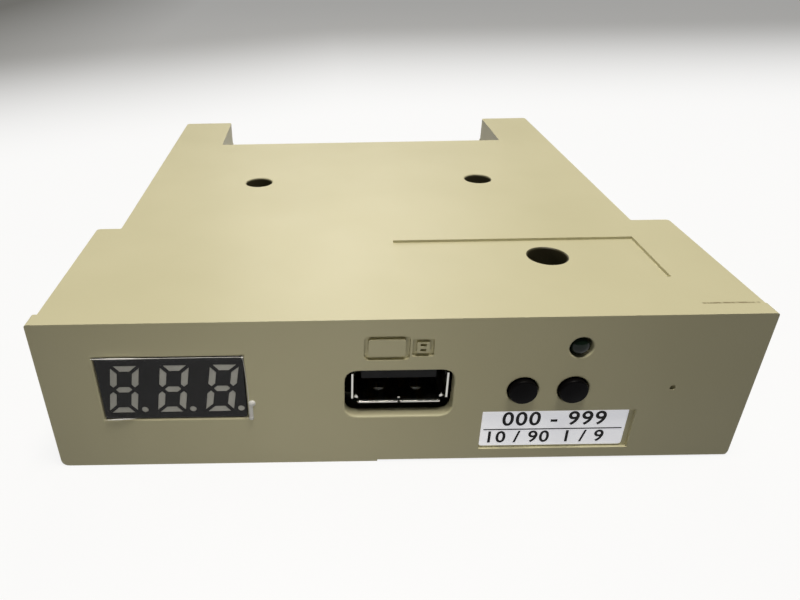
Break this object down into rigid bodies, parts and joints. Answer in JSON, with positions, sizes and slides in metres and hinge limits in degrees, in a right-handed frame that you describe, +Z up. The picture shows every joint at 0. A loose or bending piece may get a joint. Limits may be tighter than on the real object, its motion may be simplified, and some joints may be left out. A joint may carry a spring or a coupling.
{
  "type": "floppy drive emulator",
  "caption": "Bay-mounted drive emulator in a moulded case, with a memory stick socket, sprung push buttons, a status light, a numeric display and a circuit board with rear headers.",
  "frame": {"origin": "middle of the footprint, on the surface that the drive stands on", "axes": "+X to the viewer's right when facing the bezel, +Y from the bezel to the back, +Z up"},
  "size_m": [0.1016, 0.1018, 0.0254],
  "materials": {
    "housing": "fine moulded texture",
    "button": "satin",
    "black_plastic": "matte",
    "display": "satin",
    "plated_steel": "bright nickel",
    "contact": "gold flash",
    "board": "solder mask",
    "screw": "zinc",
    "light_lens": "clear epoxy",
    "nylon": "natural",
    "can": "bright"
  },
  "bodies": {
    "case": {"upper_housing": "housing", "bottom_cover": "housing", "case_screw_rear_left": "screw", "case_screw_rear_right": "screw", "case_screw_front_right": "screw", "board_screw_front_left": "screw", "board_screw_rear_left": "screw", "board_screw_rear_right": "screw", "main_board": "board", "socket_shell": "plated_steel", "socket_tongue": "black_plastic", "socket_contact_1": "contact", "socket_contact_2": "contact", "socket_contact_3": "contact", "socket_contact_4": "contact", "left_switch_body": "black_plastic", "left_switch_cover": "plated_steel", "right_switch_body": "black_plastic", "right_switch_cover": "plated_steel", "status_light": "light_lens", "status_light_lead_1": "plated_steel", "status_light_lead_2": "plated_steel", "status_light_post": "black_plastic", "display_case": "display", "display_board": "board", "display_header": "black_plastic", "drive_header": "black_plastic", "jumper_header": "black_plastic", "jumper_cap_1": "black_plastic", "jumper_cap_2": "black_plastic", "power_connector": "nylon", "controller_chip": "black_plastic", "display_driver_chip": "black_plastic", "crystal": "can", "voltage_regulator": "black_plastic", "capacitor_1": "can", "capacitor_2": "can"},
    "left_button": {"left_button_cap": "button", "left_switch_plunger": "black_plastic"},
    "right_button": {"right_button_cap": "button", "right_switch_plunger": "black_plastic"}
  },
  "joints": [
    {"name": "left_button_press", "type": "slide", "parent": "case", "child": "left_button", "axis": [0, 1, 0], "range_m": [0, 0.00025], "stiffness_N_per_m": 1500, "springref_m": -0.0003},
    {"name": "right_button_press", "type": "slide", "parent": "case", "child": "right_button", "axis": [0, 1, 0], "range_m": [0, 0.00025], "stiffness_N_per_m": 1500, "springref_m": -0.0003}
  ]
}
